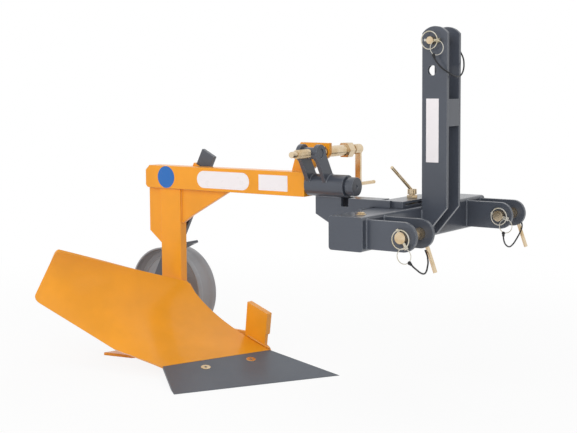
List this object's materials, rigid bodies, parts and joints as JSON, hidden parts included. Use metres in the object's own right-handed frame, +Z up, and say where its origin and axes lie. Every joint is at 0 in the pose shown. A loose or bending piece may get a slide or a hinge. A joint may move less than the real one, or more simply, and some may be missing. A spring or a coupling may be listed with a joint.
{
  "type": "moldboard plough",
  "caption": "Mounted single-furrow moldboard plough: three-point headstock, offset carriage, screw-tilted beam, share, moldboard and depth wheel.",
  "frame": {"origin": "centre of the plough's box on the floor that the share, heel and wheel stand on", "axes": "+X forward to the tractor, +Y to the left, +Z up"},
  "size_m": [1.1761, 0.8064, 0.8999],
  "materials": {
    "gray_paint": "gloss",
    "orange_paint": "gloss",
    "yellow_zinc": "yellow zinc plate",
    "bright_zinc": "bright zinc plate",
    "share_steel": "satin",
    "wheel_paint": "satin",
    "tether_cord": "matte"
  },
  "bodies": {
    "headstock": {"crossbar": "gray_paint", "mast_plate_right": "gray_paint", "mast_plate_left": "gray_paint", "mast_spacer": "gray_paint", "lower_ears_right": "gray_paint", "lower_ears_left": "gray_paint", "top_link_pin": "yellow_zinc", "lower_pin_right": "yellow_zinc", "lower_pin_left": "yellow_zinc", "lynch_pin_top": "bright_zinc", "lynch_pin_right": "bright_zinc", "lynch_pin_left": "bright_zinc", "tether_top": "tether_cord", "tether_right": "tether_cord", "tether_left": "tether_cord"},
    "carriage": {"carriage_cheek": "gray_paint", "carriage_back": "gray_paint", "clamp_saddle": "gray_paint", "clamp_bolt": "yellow_zinc", "clamp_handle": "yellow_zinc", "pivot_sleeve": "gray_paint", "pivot_lugs": "gray_paint", "screw_nut": "gray_paint"},
    "screw": {"tilt_screw": "yellow_zinc", "screw_bearing": "yellow_zinc", "crank_arm": "yellow_zinc", "crank_grip": "yellow_zinc"},
    "plough_body": {"pivot_shaft": "gray_paint", "beam": "orange_paint", "screw_bracket": "orange_paint", "post": "orange_paint", "knee_plates": "orange_paint", "frog_plate": "orange_paint", "frog_web": "orange_paint", "moldboard": "orange_paint", "share": "share_steel", "landside": "orange_paint", "heel_plate": "orange_paint", "cutter_fin": "orange_paint", "leg_holder": "orange_paint", "wheel_leg": "gray_paint", "wheel_axle": "wheel_paint", "wheel_scraper": "gray_paint"},
    "wheel": {"wheel_rim": "wheel_paint", "wheel_hub": "wheel_paint"}
  },
  "joints": [
    {"name": "offset_slide", "type": "slide", "parent": "headstock", "child": "carriage", "axis": [0, 1, 0], "range_m": [-0.05, 0.05]},
    {"name": "beam_tilt", "type": "hinge", "parent": "carriage", "child": "plough_body", "pos_m": [0.2195, -0.02679, 0.498], "axis": [1, 0, 0], "range_deg": [-8, 8]},
    {"name": "screw_travel", "type": "slide", "parent": "carriage", "child": "screw", "axis": [0, 1, 0], "range_m": [-0.012, 0.012]},
    {"name": "wheel_spin", "type": "hinge", "parent": "plough_body", "child": "wheel", "pos_m": [-0.4485, 0.12321, 0.135], "axis": [0, 1, 0], "continuous": true}
  ],
  "couplings": [
    {"joint": "screw_travel", "follows": "beam_tilt", "m_per_rad": -0.085}
  ]
}
